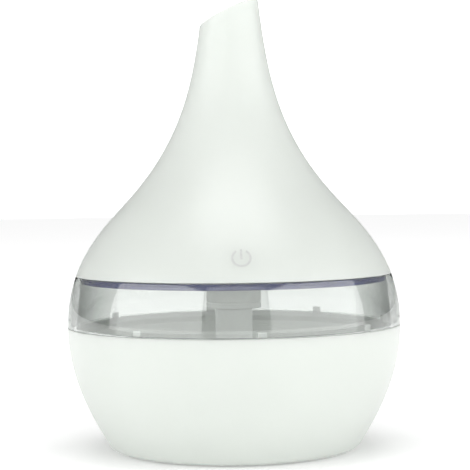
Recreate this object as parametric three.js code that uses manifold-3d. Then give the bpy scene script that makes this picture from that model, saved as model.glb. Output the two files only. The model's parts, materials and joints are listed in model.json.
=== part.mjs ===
// Teardrop desktop humidifier: a water bowl with a clear window ring, and a lift-off head that
// holds the mist maker, its electronics and the cotton wick. Millimetres, +Z up, front at -Y,
// origin at the centre of the base on the surface that it stands on.

import * as THREE from 'three';
import { mergeVertices } from 'three/addons/utils/BufferGeometryUtils.js';
import Module from 'manifold-3d';

const wasm = await Module();
wasm.setup();

// ---- driving dimensions ---------------------------------------------------------------------

const gap = 0.3; // assembly gap between touching pieces
const largeSteps = 40; // facets round the shells
const smallSteps = 20; // facets round the small turned pieces
const screwSteps = 8; // facets round screws and holes

// Knots of the outer line, bottom to top: radius, height, lean of the line in degrees from the
// outward horizontal, and the reach of its handles below and above.
const outlineKnots = [
  { r: 42.59, z: 2.76, lean: 60.1, below: 0, above: 10.85 },
  { r: 55.64, z: 42.2, lean: 90, below: 18.31, above: 18.44 },
  { r: 36.25, z: 82.3, lean: 133.4, below: 14.0, above: 31.5 },
  { r: 9.02, z: 152, lean: 96.7, below: 25.83, above: 0 },
];

const bowl = { wall: 2.4, edgeR: 38.4, edgeZ: 0.5, rimZ: 41.7, rimInnerR: 51.2, tabs: 8, tabAngle: 9.5 };
const recess = { r: 33.5, z: 1.5 }; // hollow under the bowl
const pad = { r: 4.5, ringR: 27, count: 4 };
const windowRing = { low: 42.0, high: 58.3, lowInnerR: 52.6, highInnerR: 51.3 };
const groove = { innerR: 53.3, outerR: 54.9, depth: 0.8 }; // gasket groove in the bowl's rim
const seal = { low: 56.2, high: 58.3, outerR: 51.0, wall: 1.0, lipR: 48.2, lip: 0.8 };

const shell = { low: 58.6, wall: 1.8 };
const mouth = { z: 146.1, riseX: 0.464, riseY: -0.1 }; // slanted cut: height on the axis and slopes
const port = { width: 10.6, height: 6.4, z: 65.35 }; // power inlet hole at the back
const boss = { r: 3.2, ringR: 40, count: 4, angle: 45 };

const plate = { low: 59.0, high: 61.0, r: 49.7, skirtR: 48.0 };
const collar = { low: 47.0, r: 9.2, bore: 7.6, slotR: 8.6, slotZ: 56.2, slotWidth: 3.4 };
const column = { r: 7.2, bore: 5.0, flangeR: 14.5, flangeLow: 97.0, flangeHigh: 99.0, seatR: 10.4 };
const bayonetTurn = 60; // degrees from locked to the entry slots

const tube = { low: 5.0, floor: 1.6, r: 6.2, bore: 4.7, headR: 7.3, headZ: 47.6, top: 58.4 };
const wick = { r: 4.0, low: 12.8, high: 99.3 };
const disc = { gasketR: 10.1, grooveR: 8.4, seatZ: 98.0, grooveLow: 99.3, grooveHigh: 101.0 };
const funnel = { low: 99.3, top: 113.6, throatR: 5.6, rimR: 13.3, screwX: 12.5 };

const board = { width: 34, low: 62.5, thick: 1.2, front: 17, back: 43, screwX: 14.2 };
const usb = { width: 7.5, depth: 5.6, height: 2.7, mouthY: 46.6 };
const touch = { angle: 3, boardY: -39, boardLow: 61.9, boardHigh: 73, width: 14, z: 67.2 };

// ---- materials ------------------------------------------------------------------------------

function finish(color, roughness, metalness = 0) {
  return new THREE.MeshStandardMaterial({ color, roughness, metalness });
}

const whiteShell = finish(0xecf0ea, 0.35);
const whiteInner = finish(0xe6e8e4, 0.5);
const clearPlastic = new THREE.MeshStandardMaterial({
  color: 0xb9c0bc,
  roughness: 0.08,
  metalness: 0,
  transparent: true,
  opacity: 0.35,
});
const navySilicone = finish(0x2c3768, 0.5);
const paleSilicone = finish(0xd9dcd8, 0.6);
const greyRubber = finish(0x6d7072, 0.8);
const cotton = finish(0xf1eee4, 0.95);
const steel = finish(0xb8bbbe, 0.3, 1);
const ceramic = finish(0xc9c2a8, 0.45);
const boardGreen = finish(0x1f5a3a, 0.5);
const blackPart = finish(0x202224, 0.5);
const leadWhite = finish(0xdadada, 0.6);
const ledAmber = finish(0xe9d9a0, 0.3);

// ---- shape helpers --------------------------------------------------------------------------

// Closed three.js geometry as a manifold solid.
function solid(geometry) {
  const bare = geometry.clone();
  bare.deleteAttribute('normal');
  bare.deleteAttribute('uv');
  const merged = mergeVertices(bare, 1e-4);
  const index = merged.index.array;
  const triVerts = [];
  for (let i = 0; i < index.length; i += 3) {
    const [a, b, c] = index.slice(i, i + 3);
    if (a !== b && b !== c && c !== a) triVerts.push(a, b, c);
  }
  return new wasm.Manifold(new wasm.Mesh({
    numProp: 3,
    vertProperties: merged.attributes.position.array,
    triVerts: new Uint32Array(triVerts),
  }));
}

function join(first, ...others) {
  return others.reduce((sum, other) => sum.add(other), first);
}

function cut(first, ...tools) {
  return tools.reduce((rest, tool) => rest.subtract(tool), first);
}

// Solid of revolution about +Z from [radius, height] pairs, listed anticlockwise.
function turned(outline, steps = smallSteps) {
  const closed = outline[0][0] > 0 ? [...outline, outline[0]] : outline;
  const points = closed.map(([r, z]) => new THREE.Vector2(r, z));
  return solid(new THREE.LatheGeometry(points, steps).rotateX(Math.PI / 2));
}

// Plain ring or disc between two heights.
function ring(innerR, outerR, low, high, steps = smallSteps) {
  return turned([[innerR, low], [outerR, low], [outerR, high], [innerR, high]], steps);
}

function rod(r, low, high, x = 0, y = 0, steps = screwSteps) {
  const shape = new THREE.CylinderGeometry(r, r, high - low, steps).rotateX(Math.PI / 2);
  return solid(shape.translate(x, y, (low + high) / 2));
}

// Box from its lowest to its highest corner.
function block([x0, y0, z0], [x1, y1, z1]) {
  const shape = new THREE.BoxGeometry(x1 - x0, y1 - y0, z1 - z0);
  return solid(shape.translate((x0 + x1) / 2, (y0 + y1) / 2, (z0 + z1) / 2));
}

// Round bar that follows a curve.
function bar(curve, r, steps, sides) {
  const section = new THREE.Shape();
  for (let i = 0; i < sides; i += 1) {
    const angle = (2 * Math.PI * i) / sides;
    const [x, y] = [r * Math.cos(angle), r * Math.sin(angle)];
    if (i === 0) section.moveTo(x, y);
    else section.lineTo(x, y);
  }
  return solid(new THREE.ExtrudeGeometry(section, { steps, extrudePath: curve, bevelEnabled: false }));
}

class Helix extends THREE.Curve {
  constructor(r, low, high, turns) {
    super();
    Object.assign(this, { r, low, high, turns });
  }

  getPoint(t, target = new THREE.Vector3()) {
    const angle = 2 * Math.PI * this.turns * t;
    const z = this.low + (this.high - this.low) * t;
    return target.set(this.r * Math.cos(angle), this.r * Math.sin(angle), z);
  }
}

// Places on a circle round the axis, the first one at an angle from the front.
function around(count, r, firstDegrees) {
  return Array.from({ length: count }, (_, i) => {
    const angle = THREE.MathUtils.degToRad(firstDegrees - 90 + (360 * i) / count);
    return { x: r * Math.cos(angle), y: r * Math.sin(angle), degrees: THREE.MathUtils.radToDeg(angle) };
  });
}

// ---- outer line of the body -----------------------------------------------------------------

function knotPoint(knot, reach) {
  const lean = THREE.MathUtils.degToRad(knot.lean);
  return new THREE.Vector2(knot.r + reach * Math.cos(lean), knot.z + reach * Math.sin(lean));
}

const outlineCurves = outlineKnots.slice(1).map((top, i) => {
  const bottom = outlineKnots[i];
  return new THREE.CubicBezierCurve(
    knotPoint(bottom, 0),
    knotPoint(bottom, bottom.above),
    knotPoint(top, -top.below),
    knotPoint(top, 0),
  );
});

// Point of the outer line at a height, moved inward along its normal.
function onOutline(z, inset = 0) {
  const curve = outlineCurves.find((item) => z <= item.v3.y) ?? outlineCurves.at(-1);
  let low = 0;
  let high = 1;
  for (let i = 0; i < 30; i += 1) {
    const middle = (low + high) / 2;
    if (curve.getPoint(middle).y < z) low = middle;
    else high = middle;
  }
  const point = curve.getPoint(low);
  const along = curve.getTangent(low);
  return [point.x - inset * along.y, point.y + inset * along.x];
}

function outline(low, high, count, inset = 0) {
  return Array.from({ length: count + 1 }, (_, i) => onOutline(low + ((high - low) * i) / count, inset));
}

// ---- base: bowl, window ring, gasket and feet -------------------------------------------------

function lowerBowl() {
  const foot = outlineKnots[0];
  const corner = new THREE.QuadraticBezierCurve(
    new THREE.Vector2(bowl.edgeR, bowl.edgeZ),
    knotPoint(foot, (bowl.edgeZ - foot.z) / Math.sin(THREE.MathUtils.degToRad(foot.lean))),
    knotPoint(foot, 0),
  ).getPoints(2).map((point) => [point.x, point.y]);
  const rimLow = bowl.rimZ - 1.6; // bead inside the rim
  const body = turned([
    [0, recess.z],
    [recess.r, recess.z],
    [recess.r + 1, bowl.edgeZ],
    ...corner,
    ...outline(foot.z, bowl.rimZ, 8).slice(1),
    [groove.outerR, bowl.rimZ],
    [groove.outerR, bowl.rimZ - groove.depth],
    [groove.innerR, bowl.rimZ - groove.depth],
    [groove.innerR, bowl.rimZ],
    [bowl.rimInnerR, bowl.rimZ],
    [bowl.rimInnerR, rimLow],
    ...outline(foot.z, rimLow - 1.8, 6, bowl.wall).reverse(),
    [0, onOutline(foot.z, bowl.wall)[1]],
  ], largeSteps);
  const tabs = around(bowl.tabs, bowl.rimInnerR, bowl.tabAngle).map(({ degrees }) => (
    block([bowl.rimInnerR, -1.5, bowl.rimZ - 0.4], [bowl.rimInnerR + 0.9, 1.5, bowl.rimZ + 1.8])
      .rotate([0, 0, degrees])
  ));
  return join(body, ...tabs);
}

function windowRingBody() {
  return turned([
    [windowRing.lowInnerR, windowRing.low],
    ...outline(windowRing.low, windowRing.high, 4),
    [windowRing.highInnerR, windowRing.high],
  ], largeSteps);
}

function windowGasket() {
  const low = bowl.rimZ - groove.depth + gap;
  return ring(groove.innerR + gap, groove.outerR - gap, low, bowl.rimZ, largeSteps);
}

function footPad() {
  const top = recess.z - gap;
  return turned([[0, 0], [pad.r - 0.3, 0], [pad.r, 0.3], [pad.r, top], [0, top]]);
}

// ---- seal between the window ring and the head ------------------------------------------------

function sealRing() {
  return turned([
    [seal.lipR, seal.low],
    [seal.outerR - 0.3, seal.low],
    [seal.outerR, seal.low + 0.3],
    [seal.outerR, seal.high],
    [seal.outerR - seal.wall, seal.high],
    [seal.outerR - seal.wall, seal.low + seal.lip],
    [seal.lipR, seal.low + seal.lip],
  ], largeSteps);
}

// ---- head: shell, plate and mist maker --------------------------------------------------------

function mouthCutter() {
  const up = new THREE.Vector3(-mouth.riseX, -mouth.riseY, 1).normalize();
  const turn = new THREE.Quaternion().setFromUnitVectors(new THREE.Vector3(0, 0, 1), up);
  const shape = new THREE.BoxGeometry(60, 60, 20).translate(0, 0, 10);
  return solid(shape.applyQuaternion(turn).translate(0, 0, mouth.z));
}

function upperShell() {
  const top = outlineKnots.at(-1).z;
  const outer = turned([[0, shell.low], ...outline(shell.low, top, 16), [0, top]], largeSteps);
  const hollowLow = shell.low - 4;
  const hollow = turned([
    [0, hollowLow],
    ...outline(hollowLow, top - 1, 10, shell.wall),
    [0, top + 1],
  ], largeSteps);
  const places = around(boss.count, boss.ringR, boss.angle);
  const posts = places.map(({ x, y }) => (
    rod(boss.r, plate.high + gap, 90, x, y, smallSteps).intersect(outer)
  ));
  const pilots = places.map(({ x, y }) => rod(1.45, plate.low, 68, x, y));
  const inlet = block(
    [-port.width / 2, usb.mouthY - 2, port.z - port.height / 2],
    [port.width / 2, 60, port.z + port.height / 2],
  );
  return cut(join(cut(outer, hollow), ...posts), ...pilots, inlet, mouthCutter());
}

function boardPosts() {
  const top = board.low - gap;
  const places = [[-board.screwX, 20], [board.screwX, 20], [-board.screwX, 40], [board.screwX, 40]];
  return places.map(([x, y]) => ({ x, y, post: rod(2.4, plate.high - 0.5, top, x, y) }));
}

// Slotted uprights that hold the touch board by its two sides.
function touchUprights() {
  const half = touch.width / 2;
  return [-1, 1].map((side) => {
    const upright = block(
      [side * (half + 0.6) - 1.8, touch.boardY - 2, plate.high - 0.5],
      [side * (half + 0.6) + 1.8, touch.boardY + 2, plate.high + 8],
    );
    const slot = block(
      [-half - gap, touch.boardY - 0.8, plate.high + 0.5],
      [half + gap, touch.boardY + 0.8, plate.high + 9],
    );
    return cut(upright, slot).rotate([0, 0, touch.angle]);
  });
}

function headPlate() {
  const body = turned([
    [collar.bore, collar.low],
    [collar.r, collar.low],
    [collar.r, plate.low],
    [plate.skirtR, plate.low],
    [plate.skirtR, seal.low + seal.lip + gap],
    [plate.r, seal.low + seal.lip + gap],
    [plate.r, plate.low + 1],
    [plate.r - 1, plate.high],
    [column.r, plate.high],
    [column.r, column.flangeLow - 3],
    [column.flangeR, column.flangeLow],
    [column.flangeR, column.flangeHigh],
    [column.seatR, column.flangeHigh],
    [column.seatR, disc.seatZ],
    [column.bore, disc.seatZ],
    [column.bore, plate.low - 0.2],
    [collar.slotR, plate.low - 0.2],
    [collar.slotR, collar.slotZ],
    [collar.bore, collar.slotZ],
  ], largeSteps);
  const entry = block(
    [-collar.slotR, -collar.slotWidth / 2, collar.low - 1],
    [collar.slotR, collar.slotWidth / 2, collar.slotZ + 1],
  ).rotate([0, 0, bayonetTurn]);
  const plateHoles = around(boss.count, boss.ringR, boss.angle).map(({ x, y }) => (
    rod(1.6, plate.low - 1, plate.high + 1, x, y)
  ));
  const flangeHoles = [-1, 1].map((side) => rod(1.2, 90, 100, side * funnel.screwX, 0));
  const posts = boardPosts();
  const boardHoles = posts.map(({ x, y }) => rod(1.2, plate.high, board.low, x, y));
  const whole = join(body, ...posts.map(({ post }) => post), ...touchUprights());
  return cut(whole, entry, ...plateHoles, ...flangeHoles, ...boardHoles, leadNotch());
}

// Way through the column's flange and the funnel's skirt for the disc leads.
function leadNotch() {
  return block([-4.2, disc.gasketR + 0.1, 92], [4.2, 20, 101.6]);
}

function discGasket() {
  return turned([
    [5.2, disc.seatZ + gap],
    [disc.gasketR, disc.seatZ + gap],
    [disc.gasketR, disc.grooveHigh + 1],
    [funnel.throatR, disc.grooveHigh + 1],
    [funnel.throatR, disc.grooveHigh],
    [disc.grooveR, disc.grooveHigh],
    [disc.grooveR, disc.grooveLow],
    [5.2, disc.grooveLow],
  ]);
}

function piezoRing() {
  const low = disc.grooveLow + 0.9;
  return ring(3.4, disc.grooveR - gap, low, low + 0.5);
}

function meshPlate() {
  const low = disc.grooveLow + 0.4;
  return turned([[0, low + 0.1], [1.6, low], [4.9, low], [4.9, low + 0.2], [1.6, low + 0.2], [0, low + 0.3]]);
}

function mistFunnel() {
  const flange = disc.grooveHigh + 1 + gap;
  const body = turned([
    [column.seatR, funnel.low],
    [column.flangeR, funnel.low],
    [column.flangeR, flange + 1.5],
    [9.3, flange + 1.5],
    [9.9, flange + 3.4],
    [funnel.rimR + 0.8, funnel.top - 3.8],
    [funnel.rimR + 0.8, funnel.top - 2.6],
    [funnel.rimR, funnel.top - 2.6],
    [funnel.rimR, funnel.top],
    [funnel.rimR - 1.1, funnel.top],
    [funnel.throatR, flange + 2.2],
    [funnel.throatR, flange],
    [column.seatR, flange],
  ]);
  const holes = [-1, 1].map((side) => rod(1.2, 98, 106, side * funnel.screwX, 0));
  return cut(body, ...holes, leadNotch());
}

function neckSeal() {
  const low = funnel.top - 2.6 + gap;
  return ring(funnel.rimR + gap, funnel.rimR + 1.1, low, funnel.top);
}

// Pan-head screw that points up from its head, or down when flipped.
function screw(headR, headHigh, shankR, length, flipped = false) {
  const body = turned([
    [0, -headHigh],
    [headR * 0.7, -headHigh],
    [headR, -headHigh * 0.6],
    [headR, 0],
    [shankR, 0],
    [shankR, length - shankR],
    [0, length],
  ], screwSteps);
  return flipped ? body.rotate([180, 0, 0]) : body;
}

// ---- head: electronics ------------------------------------------------------------------------

function controlBoard() {
  const high = board.low + board.thick;
  const half = board.width / 2;
  const body = block([-half, board.front, board.low], [half, board.back, high]);
  const holes = boardPosts().map(({ x, y }) => rod(1.3, board.low - 1, high + 1, x, y));
  return cut(body, ...holes);
}

function usbSocket() {
  const low = board.low + board.thick + gap;
  const half = usb.width / 2;
  const [front, back] = [usb.mouthY - usb.depth, usb.mouthY];
  const can = block([-half, front, low], [half, back, low + usb.height]);
  const hollow = block([-half + 0.4, front + 1, low + 0.4], [half - 0.4, back + 1, low + usb.height - 0.4]);
  const tongue = block([-half + 1.2, front + 0.5, low + 1.3], [half - 1.2, back - 0.8, low + 1.8]);
  return join(cut(can, hollow), tongue);
}

function touchBoard() {
  const half = touch.width / 2;
  return block(
    [-half, touch.boardY - 0.5, touch.boardLow],
    [half, touch.boardY + 0.5, touch.boardHigh],
  ).rotate([0, 0, touch.angle]);
}

// Contact spring from the touch board to the inside of the shell behind the key.
function touchSpring() {
  const coil = bar(new Helix(2.4, 0.6, 3.9, 3.5), 0.3, 35, 5);
  return coil.rotate([90, 0, 0]).translate([0, touch.boardY - 0.5, touch.z]).rotate([0, 0, touch.angle]);
}

function indicatorLed() {
  const front = touch.boardY - 0.5 - gap;
  return block([4.2, front - 1, touch.z - 1], [5.8, front, touch.z + 1]).rotate([0, 0, touch.angle]);
}

function lead(points, r, steps) {
  const route = new THREE.CatmullRomCurve3(points.map(([x, y, z]) => new THREE.Vector3(x, y, z)));
  return bar(route, r, steps, 6);
}

function discLead(side) {
  const x = side * 2.2;
  return lead([
    [x, 21, board.low + board.thick + 1],
    [x, 19, 67],
    [x, 13, 73],
    [x, 12.2, 84],
    [x, 12.2, 96],
    [x, 12.0, 99.4],
    [x, 10.6, 100.4],
  ], 0.6, 14);
}

function touchLead() {
  return lead([
    [-12.5, 16, 64.2],
    [-14, 8, 63],
    [-15, -10, 62.6],
    [-11, -27, 62.8],
    [-3.2, -37, 64.2],
  ], 0.7, 12);
}

// ---- filter and wick --------------------------------------------------------------------------

function filterTube() {
  const body = turned([
    [2, tube.low],
    [tube.r - 0.8, tube.low],
    [tube.r, tube.low + 0.8],
    [tube.r, tube.headZ],
    [tube.headR, tube.headZ + 0.8],
    [tube.headR, tube.top],
    [tube.bore, tube.top],
    [tube.bore, tube.low + tube.floor],
    [2, tube.low + tube.floor],
  ], largeSteps / 2);
  const lugReach = collar.slotR - 0.4;
  const lugs = cut(
    block([-lugReach, -1.3, tube.top - 1.7], [lugReach, 1.3, tube.top]),
    rod(tube.bore + 0.5, tube.top - 3, tube.top + 1),
  );
  const slots = [0, 90].map((degrees) => (
    block([-8, -1.2, 12], [8, 1.2, 33]).rotate([0, 0, degrees])
  ));
  return cut(join(body, lugs), ...slots);
}

function wickSpring() {
  const low = tube.low + tube.floor + gap;
  return bar(new Helix(3.3, low + 0.3, wick.low - gap - 0.3, 3.5), 0.3, 35, 5);
}

function wickStick() {
  return turned([
    [0, wick.low],
    [wick.r - 0.6, wick.low],
    [wick.r, wick.low + 0.6],
    [wick.r, wick.high - 0.6],
    [wick.r - 0.6, wick.high],
    [0, wick.high],
  ]);
}

// ---- assembly ---------------------------------------------------------------------------------

function piece(name, body, material) {
  const { vertProperties, triVerts } = body.getMesh();
  const geometry = new THREE.BufferGeometry();
  geometry.setAttribute('position', new THREE.BufferAttribute(vertProperties, 3));
  geometry.setIndex(new THREE.BufferAttribute(triVerts, 1));
  geometry.computeVertexNormals();
  const mesh = new THREE.Mesh(geometry, material);
  mesh.name = name;
  return mesh;
}

function groupOf(...children) {
  const result = new THREE.Group();
  result.add(...children);
  return result;
}

// Copies of one piece, numbered from 1, at their places.
function copies(name, body, material, places) {
  return places.map(({ x, y, z = 0 }, i) => {
    const mesh = piece(`${name}_${i + 1}`, body, material);
    mesh.position.set(x, y, z);
    return mesh;
  });
}

function base() {
  return groupOf(
    piece('lower_bowl', lowerBowl(), whiteShell),
    piece('window_ring', windowRingBody(), clearPlastic),
    piece('window_gasket', windowGasket(), paleSilicone),
    ...copies('foot_pad', footPad(), greyRubber, around(pad.count, pad.ringR, 45)),
  );
}

function mistMaker() {
  const screwZ = disc.grooveHigh + 1 + gap + 1.5 + gap;
  const screwPlaces = [-1, 1].map((side) => ({ x: side * funnel.screwX, y: 0, z: screwZ }));
  return groupOf(
    piece('disc_gasket', discGasket(), paleSilicone),
    piece('piezo_ring', piezoRing(), ceramic),
    piece('mesh_plate', meshPlate(), steel),
    piece('mist_funnel', mistFunnel(), whiteInner),
    piece('neck_seal', neckSeal(), paleSilicone),
    ...copies('funnel_screw', screw(1.9, 1.3, 0.9, 6.4, true), steel, screwPlaces),
  );
}

function electronics() {
  const top = board.low + board.thick + gap;
  const boardPlaces = boardPosts().map(({ x, y }) => ({ x, y, z: top }));
  return groupOf(
    piece('control_board', controlBoard(), boardGreen),
    ...copies('board_screw', screw(1.9, 1.3, 0.9, 2.4, true), steel, boardPlaces),
    piece('control_chip', block([-3, 28, top], [3, 32, top + 1.6]), blackPart),
    piece('power_inductor', rod(4, top, top + 4.5, -10, 29.5, 20), blackPart),
    piece('filter_capacitor', rod(2.5, top, top + 6, 10, 29.5, 16), steel),
    piece('usb_socket', usbSocket(), steel),
    piece('touch_board', touchBoard(), boardGreen),
    piece('touch_spring', touchSpring(), steel),
    piece('indicator_led', indicatorLed(), ledAmber),
    piece('disc_lead_1', discLead(-1), leadWhite),
    piece('disc_lead_2', discLead(1), leadWhite),
    piece('touch_lead', touchLead(), leadWhite),
  );
}

function head() {
  const screwPlaces = around(boss.count, boss.ringR, boss.angle).map(({ x, y }) => (
    { x, y, z: plate.low - gap }
  ));
  return groupOf(
    piece('upper_shell', upperShell(), whiteShell),
    piece('head_plate', headPlate(), whiteInner),
    ...copies('plate_screw', screw(2.2, 1.3, 1.1, 8.5), steel, screwPlaces),
    mistMaker(),
    electronics(),
  );
}

function filter() {
  return groupOf(
    piece('filter_tube', filterTube(), whiteInner),
    piece('wick_spring', wickSpring(), steel),
    piece('wick', wickStick(), cotton),
  );
}

const humidifier = groupOf(
  base(),
  piece('seal_ring', sealRing(), navySilicone),
  head(),
  filter(),
);

export default humidifier;
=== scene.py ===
# Looks of a teardrop desktop humidifier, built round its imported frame
import json
import math

import bmesh
import bpy
from mathutils import Euler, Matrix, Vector


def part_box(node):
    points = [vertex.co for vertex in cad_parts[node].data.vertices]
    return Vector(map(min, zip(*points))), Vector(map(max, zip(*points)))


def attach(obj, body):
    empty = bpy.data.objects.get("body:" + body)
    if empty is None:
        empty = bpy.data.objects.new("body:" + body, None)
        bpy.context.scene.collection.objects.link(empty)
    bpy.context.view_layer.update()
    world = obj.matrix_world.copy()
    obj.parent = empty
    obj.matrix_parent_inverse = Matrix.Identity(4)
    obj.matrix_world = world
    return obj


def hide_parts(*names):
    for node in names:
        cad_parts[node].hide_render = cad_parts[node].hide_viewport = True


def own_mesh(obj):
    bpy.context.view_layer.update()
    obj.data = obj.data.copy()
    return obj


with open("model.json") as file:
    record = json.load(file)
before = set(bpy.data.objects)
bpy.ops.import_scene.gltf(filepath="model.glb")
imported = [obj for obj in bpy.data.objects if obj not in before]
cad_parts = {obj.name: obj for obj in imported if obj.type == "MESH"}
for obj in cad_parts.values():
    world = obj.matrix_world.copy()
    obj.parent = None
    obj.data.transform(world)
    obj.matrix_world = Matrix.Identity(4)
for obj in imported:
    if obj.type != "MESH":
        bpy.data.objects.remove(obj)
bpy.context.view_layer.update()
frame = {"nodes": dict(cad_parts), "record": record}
mm = 0.001


class Wire:
    # a socket in a node tree: an expression on wires adds its Math nodes
    def __init__(self, tree, socket=None):
        self.tree = tree
        self.socket = socket

    def node(self, nodeType, settings=None, inputs=None, output=0):
        made = self.tree.nodes.new(nodeType)
        for name, value in (settings or {}).items():
            setattr(made, name, value)
        for name, value in (inputs or {}).items():
            if isinstance(value, Wire):
                self.tree.links.new(value.socket, made.inputs[name])
            else:
                made.inputs[name].default_value = value
        return Wire(self.tree, made.outputs[output] if made.outputs else None)

    def maths(self, operation, first, second=0.0):
        return self.node("ShaderNodeMath", {"operation": operation}, {0: first, 1: second})

    def __add__(self, other):
        return self.maths("ADD", self, other)

    def __sub__(self, other):
        return self.maths("SUBTRACT", self, other)

    def __rsub__(self, other):
        return self.maths("SUBTRACT", other, self)

    def __mul__(self, other):
        return self.maths("MULTIPLY", self, other)

    def __gt__(self, other):
        return self.maths("GREATER_THAN", self, other)

    def __lt__(self, other):
        return self.maths("LESS_THAN", self, other)

    __radd__ = __add__
    __rmul__ = __mul__

    def ramp(self, low, high):  # 0 at low, 1 at high, smooth in between
        settings = {"interpolation_type": "SMOOTHSTEP"}
        return self.node("ShaderNodeMapRange", settings, {"Value": self, "From Min": low, "From Max": high})

    def tint(self, dark, light):  # colour between two, by this value
        sides = [side if isinstance(side, Wire) else (*side, 1.0) for side in (dark, light)]
        return self.node("ShaderNodeMix", {"data_type": "RGBA"}, {0: self, 6: sides[0], 7: sides[1]}, 2)

    def flatReach(self):  # distance from the upright axis
        flat = self.node("ShaderNodeVectorMath", {"operation": "MULTIPLY"}, {0: self, 1: (1.0, 1.0, 0.0)})
        return self.node("ShaderNodeVectorMath", {"operation": "LENGTH"}, {0: flat}, "Value")

    def grain(self, scale, detail=2.0, stretch=None):  # noise from 0 to 1 over these coordinates
        spread = self
        if stretch:
            spread = self.node("ShaderNodeMapping", None, {"Vector": self, "Scale": stretch})
        inputs = {"Vector": spread, "Scale": scale, "Detail": detail}
        return self.node("ShaderNodeTexNoise", None, inputs, "Fac")

    def relief(self, depth):  # this value as height, in metres at 1
        return self.node("ShaderNodeBump", None, {"Height": self, "Distance": depth, "Strength": 1.0})


def newFinish(name):
    finish = bpy.data.materials.new(name)
    finish.use_nodes = True
    finish.node_tree.nodes.clear()
    pen = Wire(finish.node_tree)
    return finish, pen.node("ShaderNodeTexCoord", output="Object")


def closeFinish(finish, spot, sockets):
    shader = spot.node("ShaderNodeBsdfPrincipled", None, sockets)
    spot.node("ShaderNodeOutputMaterial", None, {"Surface": shader})
    return finish


# finishes

shellLook = {
    "white": (0.632, 0.664, 0.628), "shade": (0.617, 0.649, 0.613), "gloss": 0.30, "texture": 0.000006,
    "scatter": 0.6, "scatterReach": 0.0045,
}


def shellPlastic():
    finish, spot = newFinish("satinShellPlastic")
    cloud = spot.grain(18.0, 3.0)
    fine = spot.grain(2600.0, 2.0)
    smear = spot.grain(55.0, 4.0)
    return closeFinish(finish, spot, {
        "Base Color": cloud.ramp(0.3, 0.7).tint(shellLook["shade"], shellLook["white"]),
        "Roughness": shellLook["gloss"] + smear * 0.08 + fine * 0.05,
        "Normal": (fine + smear * 2.0).relief(shellLook["texture"]),
        "IOR": 1.5,
        "Subsurface Weight": shellLook["scatter"],
        "Subsurface Radius": (shellLook["scatterReach"],) * 3,
        "Subsurface Scale": 1.0,
    })


innerLook = {"white": (0.84, 0.855, 0.835), "shade": (0.79, 0.805, 0.785), "texture": 0.00002}


def innerPlastic():
    finish, spot = newFinish("mattInnerPlastic")
    speck = spot.grain(1400.0, 3.0)
    flow = spot.grain(60.0, 3.0, (1.0, 1.0, 0.3))
    return closeFinish(finish, spot, {
        "Base Color": flow.ramp(0.25, 0.75).tint(innerLook["shade"], innerLook["white"]),
        "Roughness": 0.48 + speck * 0.12,
        "Normal": speck.relief(innerLook["texture"]),
    })


windowLook = {
    "tint": (0.73, 0.752, 0.735), "deep": (0.70, 0.723, 0.706), "edge": (0.30, 0.32, 0.305),
    "ior": 1.04, "coat": 1.8, "coatRough": 0.05, "wave": 0.00004,
}


def windowPlastic():
    finish, spot = newFinish("clearWindowPlastic")
    flow = spot.grain(30.0, 2.0, (1.0, 1.0, 0.4))
    haze = spot.grain(420.0, 3.0)
    grazing = spot.node("ShaderNodeLayerWeight", None, {"Blend": 0.5}, "Facing")
    clear = flow.tint(windowLook["deep"], windowLook["tint"])
    return closeFinish(finish, spot, {
        "Base Color": grazing.ramp(0.3, 0.85).tint(clear, windowLook["edge"]),
        "Roughness": 0.015 + haze.ramp(0.55, 0.8) * 0.02,
        "Normal": flow.relief(windowLook["wave"]),
        "IOR": windowLook["ior"],
        "Transmission Weight": 1.0,
        "Coat Weight": 1.0 - grazing.ramp(0.55, 0.85) * 0.8,
        "Coat IOR": windowLook["coat"],
        "Coat Roughness": windowLook["coatRough"],
    })


navyLook = {"deep": (0.008, 0.014, 0.115), "lit": (0.016, 0.026, 0.17)}


def navySilicone():
    finish, spot = newFinish("navySilicone")
    bloom = spot.grain(160.0, 3.0)
    fine = spot.grain(3000.0, 2.0)
    return closeFinish(finish, spot, {
        "Base Color": bloom.tint(navyLook["deep"], navyLook["lit"]),
        "Roughness": 0.6 + bloom * 0.16,
        "Specular IOR Level": 0.3,
        "Normal": fine.relief(0.00001),
    })


paleLook = {"dark": (0.66, 0.69, 0.67), "light": (0.78, 0.80, 0.78), "scatter": 0.3, "scatterReach": 0.002}


def paleSilicone():
    finish, spot = newFinish("paleSilicone")
    bloom = spot.grain(220.0, 3.0)
    return closeFinish(finish, spot, {
        "Base Color": bloom.tint(paleLook["dark"], paleLook["light"]),
        "Roughness": 0.5 + bloom * 0.2,
        "Normal": spot.grain(2500.0).relief(0.00001),
        "Subsurface Weight": paleLook["scatter"],
        "Subsurface Radius": (paleLook["scatterReach"],) * 3,
        "Subsurface Scale": 1.0,
    })


rubberLook = {"dark": (0.060, 0.063, 0.066), "dusty": (0.16, 0.165, 0.17)}


def footRubber():
    finish, spot = newFinish("footRubber")
    dust = spot.grain(900.0, 4.0)
    return closeFinish(finish, spot, {
        "Base Color": dust.ramp(0.5, 0.9).tint(rubberLook["dark"], rubberLook["dusty"]),
        "Roughness": 0.72 + dust * 0.2,
        "Normal": dust.relief(0.00004),
    })


wickLook = {"light": (0.86, 0.83, 0.75), "dark": (0.68, 0.65, 0.56), "strand": 0.00022}


def cottonFibre():
    finish, spot = newFinish("cottonFibre")
    strands = spot.grain(900.0, 5.0, (1.0, 1.0, 0.08))
    tufts = spot.grain(500.0, 4.0)
    return closeFinish(finish, spot, {
        "Base Color": strands.ramp(0.3, 0.65).tint(wickLook["dark"], wickLook["light"]),
        "Roughness": 0.9 + tufts * 0.1,
        "Normal": (strands * 1.5 + tufts).relief(wickLook["strand"]),
        "Sheen Weight": 0.4,
    })


steelLook = {"dark": (0.50, 0.50, 0.51), "light": (0.68, 0.69, 0.70)}


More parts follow.
